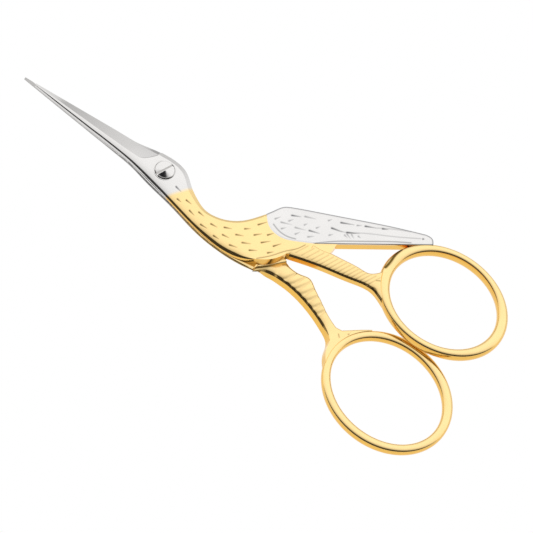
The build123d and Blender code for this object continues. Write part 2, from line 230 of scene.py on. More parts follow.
# Fineness of the meshes, how rows crowd at the edges, the thinnest wall, and where shading breaks.
DENSE = 240
LINE_STEPS = 14
FACE_ROUNDS = 4
RING_STEPS = 512
SECTION_STEPS = 64
SEAT_STEPS = 160
SCREW_ROWS = 120
SCREW_COLUMNS = 260
EDGE_CROWDING = 0.42
WALL_ROW_SHARE = 0.1
THINNEST = 0.00002
SHARP_ANGLE = math.radians(32.0)

# Edges, grinding and undercut.
EDGE_THICKNESS = 0.00012
FINE_ROUNDING = 0.00015
STRIP_BEVEL = 0.00018
EDGE_BEVEL_SLOPE = 1.2
HEAD_BEVEL_SLOPE = 0.42
ROLL_WIDTH = 0.00055
ROLL_SLOPE = 0.62
GRIND_END_WIDTH = 0.0002
EDGE_RISE_SHARES = (-0.085, -0.025)
EDGE_RISE = 0.00075
UNDERCUT_LAND = 0.0001
UNDERCUT_SLOPE = 0.65
UNDERCUT_ENDS_SHARES = (0.232, 0.264)
STRIP_LEAN_WIDTH = 0.0005

# Wing, legs, rings and the seat of the screw.
WING_RISE = 0.00004
WING_RISE_WIDTH = 0.00025
WING_WALL_START = 0.00008
LEDGE_DROP = 0.00008
LEG_FOOT = 0.0003
LEG_FOOT_SHARES = (0.239, 0.259)
REAR_PAD_FADE_SHARE = 0.012
# Where the painted shadow under the rear pad ends.
REAR_PAD_END_SHARE = 0.27
RING_DROP = 0.00035
RING_SQUARENESS = 2.6
RING_SINK = (0.0002, 0.0009)
RING_SINK_DEPTH = 0.0012
SEAT_HEIGHT = 0.00285
SEAT_RIM = 0.00018
SEAT_CHAMFER_SHARE = 0.2
SEAT_STAND = 0.000004

# Shares of the full bevel, lean or painted shade from station to station along the length.
FRONT_EDGE_STATIONS = [
    (-0.289, 0.1), (-0.24, 0.4), (-0.08, 0.6), (-0.02, 0.85), (0.1, 0.85), (0.15, 1.1), (0.195, 1.2),
    (0.222, 0.6), (0.233, 0.0), (0.27, 0.0), (0.276, 0.9), (0.42, 0.9),
]
HEAD_BEVEL_STATIONS = [
    (-0.12, 0.0), (-0.07, 0.35), (-0.02, 1.0), (0.06, 1.0), (0.12, 0.6), (0.196, 0.5), (0.2, 0.0),
]
STRIP_LEAN_STATIONS = [(-0.31, 0.55), (-0.1, 0.5), (-0.04, 0.28), (0.24, 0.28)]
STRIP_BEVEL_STATIONS = [(-0.31, 0.1), (-0.12, 0.2), (-0.06, 0.9), (0.0, 1.0), (0.22, 1.0), (0.24, 0.6)]
REAR_EDGE_STATIONS = [(0.24, 0.3), (0.262, 1.2), (0.4, 1.1), (0.42, 0.4), (0.43, 0.0)]
# Painted shade on the low walls between body and leg.
WALL_PAINTED_SHADE_STATIONS = [(0.225, 0.0), (0.238, 0.1), (0.268, 0.1), (0.275, 0.0)]

# The screw's turned face: its rings saw down towards a dark reflection, and there the face is also painted
# darker as a painted dark reflection.
SCREW_PITCH = 0.00009
SCREW_SLOPE = 1.3
SCREW_SHARPNESS = 3.5
SCREW_DARK_PX = (161.6, 176.8)
SLOT_DIRECTION = 69.0

# Cuts, and the half width of the painted shade on the ring. A notch's bite is a stroke that ends just beyond
# its start.
PAINTED_SHADE_WIDTH = 0.0002
NOTCH_TAPER = 0.6
NOTCH_BITE = 0.26
NEARLY = 1.002
SCORE_CROWDING = 0.9

# How much of the groove's colour each kind of cut takes, and how much the painted shade on the notch bands,
# the wing's upper edge, the screw and the upper ring takes.
LINE_TINT_SHARE = 0.55
SCORE_TINT_SHARE = 0.4
MARK_TINT_SHARE = 0.6
BAND_PAINTED_SHADE_SHARE = 0.7
GRIND_TINT_SHARE = 0.3
SCREW_PAINTED_SHADE_SHARE = 0.9
WING_LIGHT_SHARE = 0.6
# Width and strength of the painted shade along the wing's upper edge.
WING_RIM_SHARE = 1.3
WING_RIM_PAINTED_SHADE_SHARE = 0.7
RING_PAINTED_SHADE_GAIN = 1.8

# The metals: wiping marks, faint tones, the range of upward lean over which a wall's painted reflection gold
# gives way to a face's gold, and the gilding's soft line.
WIPING_SCALE = (900.0, 5200.0, 2600.0)
WIPING_DETAIL = 4.0
TONE_SCALE = 260.0
TONE_DETAIL = 3.0
TONE_SHARES = (0.94, 1.03)
POLISH_SHARES = (0.75, 1.35)
BUMP_STRENGTH = 0.03
BUMP_DEPTH = 0.00002
PAINTED_REFLECTION_FACING = (0.3, 0.97)
GILDING_BLUR = 0.0009

# Sockets of a Mix node that mixes colours.
MIX_SHARE, MIX_FIRST, MIX_SECOND, MIX_RESULT = 0, 6, 7, 2

metres = partial(FloatProperty, unit="LENGTH")
factor = partial(FloatProperty, subtype="FACTOR")
colour = partial(FloatVectorProperty, subtype="COLOR", size=3)


class ScissorsShape(PropertyGroup):
    """Sizes of the two forged halves."""

    length: metres(name="Length", description="Length of the closed pair", default=0.09)
    width: metres(name="Width", description="Width over both rings", default=0.0376)
    leg_top: metres(name="Leg top", description="Height of the lower leg's face", default=0.0018)
    lap: metres(name="Lap", description="Height where the halves meet", default=0.0023)
    gap: metres(name="Gap", description="Running gap at the lap", default=0.00004)
    neck_top: metres(name="Neck top", description="Height of the neck's face", default=0.00335)
    body_top: metres(name="Body top", description="Height of the body's face", default=0.0041)
    head_bevel: metres(name="Head bevel", description="Bevel on head and neck", default=0.0008)
    edge_bevel: metres(name="Edge bevel", description="Bevel on the lower edges", default=0.0003)
    leg_rounding: metres(name="Leg rounding", description="Radius of the legs' edges", default=0.00038)
    seat_radius: metres(name="Seat radius", description="Radius of the screw's seat", default=0.0017)
    screw_radius: metres(name="Screw face", description="Radius of the screw's turned face", default=0.00149)
    screw_slot: metres(name="Screw slot", description="Width of the screw's slot", default=0.00042)
    screw_top: metres(name="Screw top", description="Height of the screw's face", default=0.00365)


class ScissorsEngraving(PropertyGroup):
    """Half widths and depths of the cut ornament."""

    stroke_width: metres(name="Stroke width", description="Half width of a feather stroke", default=0.00014)
    stroke_depth: metres(name="Stroke depth", description="Depth of a feather stroke", default=0.00007)
    taper: factor(name="Taper", description="How much a feather stroke thins out", default=0.6)
    line_width: metres(name="Line width", description="Half width of a drawn line", default=0.0001)
    line_depth: metres(name="Line depth", description="Depth of a drawn line", default=0.00004)
    score_width: metres(name="Score width", description="Half width of a score on the leg", default=0.00013)
    score_depth: metres(name="Score depth", description="Depth of a score on the leg", default=0.00004)
    notch_width: metres(name="Notch width", description="Half width of a notch's band", default=0.0004)
    notch_depth: metres(name="Notch depth", description="Depth of a notch at the edge", default=0.00013)


class ScissorsFinish(PropertyGroup):
    """Colours and polish of the metals."""

    gold: colour(name="Gold", description="Plating on the faces", default=(0.9, 0.672, 0.315))
    # Painted reflection: walls take this deeper gold in place of gold reflected in gold; the plating itself
    # is the same.
    painted_reflection_gold: colour(name="Wall gold", description="Plating on the walls", default=(0.88, 0.52, 0.11))
    steel: colour(name="Steel", description="Colour of the bare steel", default=(0.692, 0.68, 0.668))
    # The groove colours darken cuts, and also painted shade and painted dark reflections.
    gold_groove_and_painted_shade: colour(name="Gold groove", description="Colour cut into gold", default=(0.13, 0.08, 0.015))
    steel_groove_and_painted_shade: colour(name="Steel groove", description="Colour cut into steel", default=(0.09, 0.09, 0.1))
    polish: factor(name="Polish", description="Roughness of the faces", default=0.16)


class ScissorsStage(PropertyGroup):
    """Floor and light."""

    floor: colour(name="Floor", description="Colour of the floor", default=(1.0, 1.0, 1.0))
    overhead: FloatProperty(name="Overhead", description="Brightness of the soft light", default=1.3)


def settings():
    """The four groups of settings."""
    scene = bpy.context.scene
    return scene.scissors_shape, scene.scissors_engraving, scene.scissors_finish, scene.scissors_stage


def in_plan(shares):
    """Shares of length and width as metres from the screw."""
    shape = settings()[0]
    return np.array(shares, float) * (shape.length, shape.width)


def curve_through(points, count):
    """Natural cubic spline through points, its parameter the summed chord length, as count places.

    Bend is its second derivative at the points: 0 at both ends, and the slopes on either side agree.
    """
    points = np.asarray(points, float)
    chords = np.linalg.norm(np.diff(points, axis=0), axis=1)
    knots = np.concatenate([[0.0], np.cumsum(chords)])
    size = len(points)
    matrix = np.eye(size)
    target = np.zeros_like(points)
    inner = np.arange(1, size - 1)
    matrix[inner, inner - 1] = chords[:-1]
    matrix[inner, inner] = 2 * (chords[:-1] + chords[1:])
    matrix[inner, inner + 1] = chords[1:]
    slopes = np.diff(points, axis=0) / chords[:, None]
    target[1:-1] = 6 * np.diff(slopes, axis=0)
    bend = np.linalg.solve(matrix, target)
    at = np.linspace(0, knots[-1], count)
    span = np.clip(np.searchsorted(knots, at, side="right") - 1, 0, size - 2)
    width = chords[span][:, None]
    after = (at - knots[span])[:, None]
    before = width - after
    cubic = (bend[span] * before**3 + bend[span + 1] * after**3) / (6 * width)
    left = (points[span] / width - bend[span] * width / 6) * before
    right = (points[span + 1] / width - bend[span + 1] * width / 6) * after
    return cubic + left + right


def border(*stretches):
    """Stretches of an outline joined end to end, each a spline through its points, as close places."""
    return np.concatenate([curve_through(in_plan(stretch), DENSE) for stretch in stretches])


def across(line, along):
    """Where a border lies across the object, and how steep it is, at places along it."""
    order = np.maximum.accumulate(line[:, 0])
    value = np.interp(along, order, line[:, 1])
    slope = np.gradient(value, along)
    return value, slope


def smooth(value, start=0, end=1):
    """0 below the start, 1 above the end, and an even S between."""
    share = np.clip((value - start) / (end - start), 0, 1)
    return share * share * (3 - 2 * share)


def fillet(distance, radius):
    """How far a quarter-round edge lies under the face, at a distance in from the outline."""
    short = np.clip(radius - distance, 0, radius)
    return radius - np.sqrt(np.maximum(radius * radius - short * short, 0))


def turned(x, y, degrees):
    """Places turned anticlockwise by an angle a: x cos a - y sin a, and x sin a + y cos a."""
    angle = math.radians(degrees)
    return x * math.cos(angle) - y * math.sin(angle), x * math.sin(angle) + y * math.cos(angle)


def on_face(pixels, height):
    """Places in plan, from the screw, where the camera's rays through photograph pixels meet a height."""
    back, right, up, place = photo_camera()
    pixels = np.atleast_2d(np.asarray(pixels, float))
    off_middle = (pixels - PHOTO_MIDDLE) / (PIXELS_PER_METRE * VIEW_DISTANCE)
    ray = right * off_middle[:, :1] - up * off_middle[:, 1:] - back
    reach = (height - place[2]) / ray[:, 2:]
    return (place + reach * ray)[:, :2]


def on_front(pixels):
    """Places in plan of photograph pixels on the front half's face, whose height changes along it."""
    height = settings()[0].body_top
    for _ in range(FACE_ROUNDS):
        places = on_face(pixels, height)
        height = front_level(places[:, :1])
    return places


def photo_camera():
    """Directions back to the camera, right and up, and the camera's place with the screw's axis at 0, 0."""
    flat = np.array(VIEW_FROM) / np.hypot(*VIEW_FROM)
    back = np.array([*(math.cos(VIEW_ELEVATION) * flat), math.sin(VIEW_ELEVATION)])
    upright = np.array([0, 0, 1.0]) - back[2] * back
    upright = upright / np.linalg.norm(upright)
    side = np.cross(upright, back)
    lean = np.array(VIEW_LEAN) / np.hypot(*VIEW_LEAN)
    right = lean[1] * side + lean[0] * upright
    up = lean[1] * upright - lean[0] * side
    offset = (np.array(EYE_PX) - PHOTO_MIDDLE) / PIXELS_PER_METRE
    place = np.array([0, 0, EYE_HEIGHT]) + VIEW_DISTANCE * back - offset[0] * right + offset[1] * up
    return back, right, up, place


def stroke(x, y, start, end, half_width, taper=0.0):
    """Share of full depth of one straight stroke: a bell across it, cut off softly at its ends.

    From its start to its end the stroke gets narrower and shallower by the share taper.
    """
    start = np.asarray(start)
    run = np.asarray(end) - start
    length = np.hypot(*run)
    ahead = run / length
    along = (x - start[0]) * ahead[0] + (y - start[1]) * ahead[1]
    aside = (y - start[1]) * ahead[0] - (x - start[0]) * ahead[1]
    past = np.maximum(np.maximum(-along, along - length), 0)
    left = 1 - taper * np.clip(along / length, 0, 1)
    gap = np.hypot(aside, past) / (half_width * left)
    return np.exp(-gap * gap) * left


def strokes(x, y, pixel_pairs, place_of, half_width, taper=0.0):
    """The deepest of several strokes at each place. place_of turns pixels into places in plan."""
    cut = np.zeros_like(x)
    for pair in pixel_pairs:
        start, end = place_of(pair)
        cut = np.maximum(cut, stroke(x, y, start, end, half_width, taper))
    return cut


def drawn_line(x, y, pixels, place_of, half_width):
    """A line through several pixels, as short strokes between them."""
    places = curve_through(place_of(pixels), LINE_STEPS)
    cut = np.zeros_like(x)
    for start, end in zip(places[:-1], places[1:]):
        cut = np.maximum(cut, stroke(x, y, start, end, half_width))
    return cut


def shell(name, low, high, face, underside, gild, foot=None):
    """A closed forging between two borders, over the stretch of the length that SPANS gives.

    At each place x along it, rows of places run across from the low border to the high one. face(x, y, ...)
    gives their height and how far engraving and painted shade darken them, underside(x, y, ...) the height
    of the back, and walls close the sides and the ends, the low wall darkened by painted shade along the
    length.
    foot(x) is how far the low wall stands out below. gild(x, y, z) is 1 on gold and 0 on bare steel.
    """
    start, end, count, rows = SPANS[name]
    length = settings()[0].length
    x = np.linspace(start * length, end * length, count)
    low_y, low_slope = across(low, x)
    high_y, high_slope = across(high, x)
    low_stretch = np.hypot(1, low_slope)
    high_stretch = np.hypot(1, high_slope)
    share = edge_crowded(rows)[None, :]
    grid_x = np.repeat(x[:, None], rows, axis=1)
    level = np.zeros_like(x)
    levels = []
    for inset in (foot(x) if foot else level, level):
        start_y = np.minimum(low_y + inset * low_stretch, high_y - THINNEST)
        grid_y = start_y[:, None] + (high_y - start_y)[:, None] * share
        low_gap = (grid_y - start_y[:, None]) / low_stretch[:, None]
        high_gap = (high_y[:, None] - grid_y) / high_stretch[:, None]
        levels.append((grid_y, low_gap, high_gap))
    top, cut = face(grid_x, *levels[0])
    bottom = np.minimum(underside(grid_x, *levels[1]), top - THINNEST)
    upper = np.stack([grid_x, levels[0][0], top], axis=-1)
    under = np.stack([grid_x, levels[1][0], bottom], axis=-1)
    walls = [upper[:, side] + (under[:, side] - upper[:, side]) * WALL_ROW_SHARE for side in (0, -1)]
    points = np.concatenate([upper.reshape(-1, 3), under.reshape(-1, 3), *walls])
    top_index = np.arange(count * rows).reshape(count, rows)
    under_index = top_index + count * rows
    low_index = np.arange(count) + 2 * count * rows
    high_index = low_index + count
    quads = [
        grid_quads(top_index),
        grid_quads(under_index)[:, ::-1],
        grid_quads(np.stack([under_index[:, 0], low_index, top_index[:, 0]], axis=1)),
        grid_quads(np.stack([top_index[:, -1], high_index, under_index[:, -1]], axis=1)),
    ]
    caps = np.column_stack([top_index, high_index, under_index[:, ::-1], low_index])
    faces = np.concatenate(quads).tolist() + [caps[0].tolist(), caps[-1, ::-1].tolist()]
    engraving_and_painted_shade = np.zeros(len(points))
    engraving_and_painted_shade[: count * rows] = cut.reshape(-1)
    # Painted shade: the low wall is darkened by the stations along the length.
    engraving_and_painted_shade[low_index] = engraving_and_painted_shade[under_index[:, 0]] = by_length(x, WALL_PAINTED_SHADE_STATIONS)
    return finished(name, points, faces, gild(*points.T), engraving_and_painted_shade)


def edge_crowded(rows):
    """Shares from 0 to 1 that crowd towards both ends, where the edges are rounded."""
    even = np.linspace(-1, 1, rows)
    eased = even * (1 + EDGE_CROWDING * (1 - even * even))
    return (eased + 1) / 2


def grid_quads(index):
    """Four-sided faces between neighbouring rows and columns of vertex numbers."""
    corners = [index[:-1, :-1], index[1:, :-1], index[1:, 1:], index[:-1, 1:]]
    return np.stack([corner.ravel() for corner in corners], axis=1)


def closed_quads(rows, columns):
    """Four-sided faces of a grid that closes on itself both ways."""
    index = np.arange(rows * columns).reshape(rows, columns)
    index = np.concatenate([index, index[:1]])
    return grid_quads(np.concatenate([index, index[:, :1]], axis=1))


def ring_surface(name, ring, bottom, top, shaded=False):
    """A finger ring: round the ring, the section is a superellipse, between a rectangle and an oval.

    At angle a the section spans from the inner ellipse to the outer one. At angle b round the section, the
    place is half the breadth along sign(cos b) |cos b|^(2 / n) and half the height along the same of sin b,
    where n is its squareness. If shaded, a dark crescent is painted on the outer shoulder: painted shade
    standing in for a dark reflection.
    """
    turn = np.linspace(0, 2 * math.pi, RING_STEPS, endpoint=False)
    rims = {}
    for side, (shares, middle_shares, slant) in ring.items():
        half = in_plan(shares)
        rim = turned(half[0] * np.cos(turn), half[1] * np.sin(turn), slant)
        rims[side] = np.stack(rim, axis=1) + in_plan(middle_shares)
    middle = (rims["outside"] + rims["inside"]) / 2
    outward = rims["outside"] - rims["inside"]
    breadth = np.linalg.norm(outward, axis=1)
    outward = outward / breadth[:, None]
    b = (np.arange(SECTION_STEPS) + 1 / 2) * 2 * math.pi / SECTION_STEPS
    power = 2 / RING_SQUARENESS
    reach = breadth[:, None] / 2 * np.sign(np.cos(b)) * np.abs(np.cos(b)) ** power
    rise = (top - bottom) / 2 * np.sign(np.sin(b)) * np.abs(np.sin(b)) ** power
    place = middle[:, None, :] + outward[:, None, :] * reach[:, :, None]
    height = np.broadcast_to((top + bottom) / 2 + rise, reach.shape)
    points = np.concatenate([place, height[:, :, None]], axis=2).reshape(-1, 3)
    # Painted shade: a dark crescent on the upper ring's shoulder, in place of a dark reflection.
    shade = np.zeros(len(points))
    if shaded:
        line = drawn_line(points[:, 0], points[:, 1], RING_PAINTED_SHADE_PX, on_shoulder, PAINTED_SHADE_WIDTH)
        shade = np.minimum(line * RING_PAINTED_SHADE_GAIN, 1)
    faces = closed_quads(RING_STEPS, SECTION_STEPS).tolist()
    return finished(name, points, faces, np.ones(len(points)), shade)


def added(name, data):
    """An object of the scene, at the origin."""
    piece = bpy.data.objects.new(name, data)
    bpy.context.scene.collection.objects.link(piece)
    return piece


def finished(name, points, faces, gilded, engraving_and_painted_shade):
    """A mesh object at the origin, with its gilding, and its engraving together with painted shade, kept on
    its vertices.
    """
    mesh = bpy.data.meshes.new(name)
    mesh.from_pydata((points + SCREW_AXIS).tolist(), [], faces)
    mesh.update()
    for label, values in (("gilding", gilded), ("engraving", engraving_and_painted_shade)):
        layer = mesh.attributes.new(label, "FLOAT", "POINT")
        layer.data.foreach_set("value", np.asarray(values, np.float32))
    mesh.polygons.foreach_set("use_smooth", np.ones(len(mesh.polygons), bool))
    mesh.set_sharp_from_angle(angle=SHARP_ANGLE)
    return added(name, mesh)


def front_level(x):
    """Height of the front half's face along the length: tip, blade, neck, rise to the body."""
    shape = settings()[0]
    blade = by_length(x, [(FRONT_TIP[0][0], TIP_TOP), (GRIND_THICKENS_SHARE, shape.neck_top)])
    return blade + (shape.body_top - shape.neck_top) * smooth(x / shape.length, *FRONT_RISE_SHARES)


def inside_ring(x, y, ring):
    """How far inside the outer rim of a ring each place is, about, in metres."""
    shares, middle_shares, slant = ring["outside"]
    half = in_plan(shares)
    middle = in_plan(middle_shares)
    along, aside = turned(x - middle[0], y - middle[1], -slant)
    return (1 - np.hypot(along / half[0], aside / half[1])) * half.mean()


def sink_into_ring(x, y, z, ring):
    """Lowers a leg's face under the rounded top of its ring."""
    return z - RING_SINK_DEPTH * smooth(inside_ring(x, y, ring), *RING_SINK)


def body_face(x, y, low_gap, high_gap):
    """Face of the front half, less its rounded edges, its grinding and its engraving, with painted shade in
    the crease where the upper leg meets its ring.
    """
    shape, engraving = settings()[:2]
    z = front_level(x) - rolled_edge(low_gap, by_length(x, FRONT_EDGE_STATIONS) * shape.edge_bevel)
    on_leg_part = x > WING_FRONT[-1][0] * shape.length
    z = z - np.where(on_leg_part, fillet(high_gap, shape.leg_rounding), 0)
    z, ground_tint = ground(x, y, z, high_gap)
    bevel = shape.head_bevel * by_length(x, HEAD_BEVEL_STATIONS)
    z = z - HEAD_BEVEL_SLOPE * np.maximum(bevel - high_gap, 0)
    fine, taper = engraving.stroke_width, engraving.taper
    cut = strokes(x, y, EYE_STROKES_PX + FEATHER_STROKES_PX, on_front, fine, taper)
    line = drawn_line(x, y, BODY_CONTOUR_PX, on_front, engraving.line_width)
    marks = strokes(x, y, FRONT_MARKS_PX, on_front, engraving.line_width)
    # A shallow groove where the leg meets its ring, darkened with painted shade in that crease.
    junction_groove_and_painted_shade = drawn_line(x, y, JUNCTION_GROOVE_AND_PAINTED_SHADE_PX, on_front, engraving.stroke_width)
    cut = np.maximum(cut, np.maximum(marks, junction_groove_and_painted_shade) * MARK_TINT_SHARE)
    score = strokes(x, y, score_pixels(), on_front, engraving.score_width)
    z = z - engraving.stroke_depth * cut - engraving.line_depth * line - engraving.score_depth * score
    z = sink_into_ring(x, y, z, FRONT_RING)
    z = np.where(np.hypot(x, y) < shape.seat_radius + SEAT_RIM / 2, SEAT_HEIGHT, z)
    cut = np.maximum(cut, ground_tint)
    return z, np.maximum(cut, np.maximum(line, score * SCORE_TINT_SHARE) * LINE_TINT_SHARE)


def by_length(x, stations):
    """A share or height that changes along the length, straight from station to station."""
    stations = np.array(stations)
    return np.interp(x / settings()[0].length, stations[:, 0], stations[:, 1])


def rolled_edge(distance, bevel):
    """Depth of an edge under the face: a steep flat bevel, and before it the face rolling gently over."""
    shape = settings()[0]
    past = np.maximum(distance - bevel, 0)
    strength = np.minimum(bevel / shape.edge_bevel, 1)
    roll = ROLL_SLOPE * strength * ROLL_WIDTH * np.exp(-past / ROLL_WIDTH)
    return EDGE_BEVEL_SLOPE * np.maximum(bevel - distance, 0) + roll


def score_pixels():
    """The scores across the upper leg, closer together towards the ring."""
    step = np.linspace(0, 1, SCORE_COUNT) ** SCORE_CROWDING
    start = np.array(SCORE_FIRST_PX) + step[:, None] * (np.array(SCORE_LAST_PX) - SCORE_FIRST_PX)
    return [(tuple(place), tuple(place + SCORE_STEP_PX)) for place in start]


def ground(x, y, z, high_gap):
    """The blade's face ground down straight from its ridge to its cutting edge, as far as the head."""
    shape = settings()[0]
    ridge = in_plan(RIDGE_SHARES)
    end = in_plan(GRIND_END_SHARES)
    ridge_y = np.interp(x, ridge[:, 0], ridge[:, 1])
    end_x = np.interp(y, end[:, 1], end[:, 0])
    share = np.clip(high_gap / np.maximum(y + high_gap - ridge_y, EDGE_THICKNESS), 0, 1)
    rise = smooth(x / shape.length, *EDGE_RISE_SHARES)
    edge_z = shape.lap + EDGE_THICKNESS + rise * EDGE_RISE
    slope_z = edge_z + (front_level(x) - edge_z) * share
    inside = smooth((end_x - x) / GRIND_END_WIDTH)
    ground_off = np.maximum(z - slope_z, 0)
    return z - inside * ground_off, inside * rise * smooth(ground_off / THINNEST) * GRIND_TINT_SHARE


def ledge_face(x, y, low_gap, high_gap):
    """The small flat ledge in the crotch between wing and leg."""
    return np.full_like(x, settings()[0].body_top - LEDGE_DROP), np.zeros_like(x)


def wing_face(x, y, low_gap, high_gap):
    """Face of the wing with its shoulder arc, feather strokes and the groove along its lower edge, and
    painted shade along its rounded upper edge.
    """
    shape, engraving = settings()[:2]
    z = front_level(x) + WING_RISE * smooth(low_gap / WING_RISE_WIDTH)
    under_start = WING_UNDERSIDE[0][0] * shape.length
    low_radius = np.where(x < under_start, 0.0, FINE_ROUNDING)
    z = z - fillet(low_gap, low_radius) - fillet(high_gap, FINE_ROUNDING)
    fine, taper = engraving.stroke_width, engraving.taper
    dark = strokes(x, y, WING_DARK_STROKES_PX, on_front, fine, taper)
    light = strokes(x, y, WING_STROKES_PX, on_front, fine, taper) * WING_LIGHT_SHARE
    line = drawn_line(x, y, WING_ARC_PX, on_front, engraving.line_width)
    for pixels in WING_LONG_LINES_PX:
        line = np.maximum(line, drawn_line(x, y, pixels, on_front, engraving.line_width) * WING_LIGHT_SHARE)
    groove = drawn_line(x, y, WING_GROOVE_PX, on_front, engraving.line_width)
    cut = np.maximum(dark, light)
    z = z - engraving.stroke_depth * cut - engraving.line_depth * np.maximum(line, groove)
    # Painted shade: a dark line, colour only, just inside the rounded upper edge.
    rim_width = engraving.line_width * WING_RIM_SHARE
    from_rim = (high_gap - rim_width) / rim_width
    rim = np.exp(-from_rim * from_rim) * WING_RIM_PAINTED_SHADE_SHARE
    return z, np.maximum(np.maximum(cut, rim), np.maximum(line, groove) * LINE_TINT_SHARE)


def seat_rim():
    """The rim of the screw's seat: the same six-cornered section all round the screw."""
    shape = settings()[0]
    turn = np.linspace(0, 2 * math.pi, SEAT_STEPS, endpoint=False)
    inner, outer = shape.seat_radius, shape.seat_radius + SEAT_RIM
    chamfer = SEAT_RIM * SEAT_CHAMFER_SHARE
    top = shape.neck_top + SEAT_STAND
    foot = SEAT_HEIGHT - SEAT_RIM
    reach = np.array([inner, inner, inner + chamfer, outer - chamfer, outer, outer])
    height = np.array([foot, top - chamfer, top, top, top - chamfer, foot])
    heights = np.tile(height, (SEAT_STEPS, 1))
    places = [np.outer(np.cos(turn), reach), np.outer(np.sin(turn), reach), heights]
    points = np.stack(places, axis=-1).reshape(-1, 3)
    faces = closed_quads(SEAT_STEPS, len(height))[:, ::-1].tolist()
    plain = np.zeros(len(points))
    return finished("seat_rim", points, faces, plain, plain)


def screw_face(name, side):
    """One side of the slotted screw's face, turned in fine rings.

    Across from the slot to the rim and along the slot from chord end to chord end, the height saws down
    outward from ring to ring. The slope is greatest towards the dark reflection, and there the face is also
    painted darker: a painted dark reflection.
    """
    shape = settings()[0]
    away = np.linspace(0, 1, SCREW_ROWS)[:, None]
    along = np.linspace(-1, 1, SCREW_COLUMNS)[None, :]
    v = shape.screw_slot / 2 + (shape.screw_radius - shape.screw_slot / 2) * away
    u = along * np.sqrt(np.maximum((shape.screw_radius + THINNEST) ** 2 - v * v, 0))
    v = side * np.broadcast_to(v, u.shape)
    x, y = turned(u, v, SLOT_DIRECTION)
    dark = on_face(SCREW_DARK_PX, shape.screw_top)[0]
    reach = np.hypot(x, y)
    towards = (x * dark[0] + y * dark[1]) / (np.maximum(reach, THINNEST) * np.hypot(*dark))
    wedge = np.maximum(towards, 0) ** SCREW_SHARPNESS
    saw = (1 - np.mod(reach / SCREW_PITCH, 1)) * SCREW_PITCH * SCREW_SLOPE * wedge
    top = np.stack([x, y, shape.screw_top + THINNEST / 2 + saw], axis=-1)
    under = top.copy()
    under[:, :, 2] = shape.screw_top - THINNEST
    count = SCREW_ROWS * SCREW_COLUMNS
    index = np.arange(count).reshape(SCREW_ROWS, SCREW_COLUMNS)
    below = index + count
    rims = [(below[0], index[0]), (index[-1], below[-1])]
    rims += [(index[:, 0], below[:, 0]), (below[:, -1], index[:, -1])]
    quads = [grid_quads(index)[:, ::-1], grid_quads(below)]
    quads += [grid_quads(np.stack(pair, axis=1)) for pair in rims]
    faces = np.concatenate(quads)
    if side < 0:
        faces = faces[:, ::-1]
    points = np.concatenate([top.reshape(-1, 3), under.reshape(-1, 3)])
    # Painted dark reflection: the face's colour darkens in the wedge towards the dark reflection.
    shade = np.concatenate([wedge.ravel(), np.zeros(count)]) * SCREW_PAINTED_SHADE_SHARE
    return finished(name, points, faces.tolist(), np.zeros(len(points)), shade)


def front_underside(x, y, low_gap, high_gap):
    """The flat back of the front half, at the lap."""
    shape = settings()[0]
    return np.full_like(x, shape.lap + shape.gap)


def front_gilding(x, y, z):
    """Gold beyond the line across the neck behind the eye, bare steel before it."""
    start, end = on_face(FRONT_GILDING_PX, settings()[0].neck_top)
    run = (end - start) / np.linalg.norm(end - start)
    beyond = (x - start[0]) * run[1] - (y - start[1]) * run[0]
    return smooth(beyond, -GILDING_BLUR / 2, GILDING_BLUR / 2)


def wing_gilding(x, y, z):
    """Bare steel on top of the wing, gold on its walls."""
    top = front_level(x) - FINE_ROUNDING - WING_WALL_START
    return smooth((top - z) / WING_WALL_START)


def rear_underside(x, y, low_gap, high_gap):
    """The back of the rear half, with the undercut that slants in from its outer edge."""
    shape = settings()[0]
    strip = border(REAR_STRIP, REAR_THROAT, REAR_LEG_LOWER)
    edge_y = across(strip, x[:, 0])[0][:, None]
    slanted = shape.lap - UNDERCUT_LAND - (y - edge_y) / UNDERCUT_SLOPE
    fade = smooth(x / shape.length, *UNDERCUT_ENDS_SHARES)
    back = by_length(x, BACK_STATIONS)
    return back + (1 - fade) * np.maximum(slanted - back, 0)


def pad_face(x, y, low_gap, high_gap):
    """The flat lap of the rear half, its outer edge bevelled."""
    shape = settings()[0]
    bevel = STRIP_BEVEL * by_length(x, STRIP_BEVEL_STATIONS)
    z = shape.lap - by_length(x, STRIP_LEAN_STATIONS) * np.maximum(STRIP_LEAN_WIDTH - low_gap, 0)
    z = z - EDGE_BEVEL_SLOPE * np.maximum(bevel - low_gap, 0)
    return z, np.zeros_like(x)


def on_leg(pixels):
    """Places in plan of photograph pixels on the lower leg's face."""
    return on_face(pixels, settings()[0].leg_top)


def on_shoulder(pixels):
    """Places in plan of photograph pixels on the outer shoulder of the upper ring."""
    return on_face(pixels, settings()[0].body_top - RING_DROP)


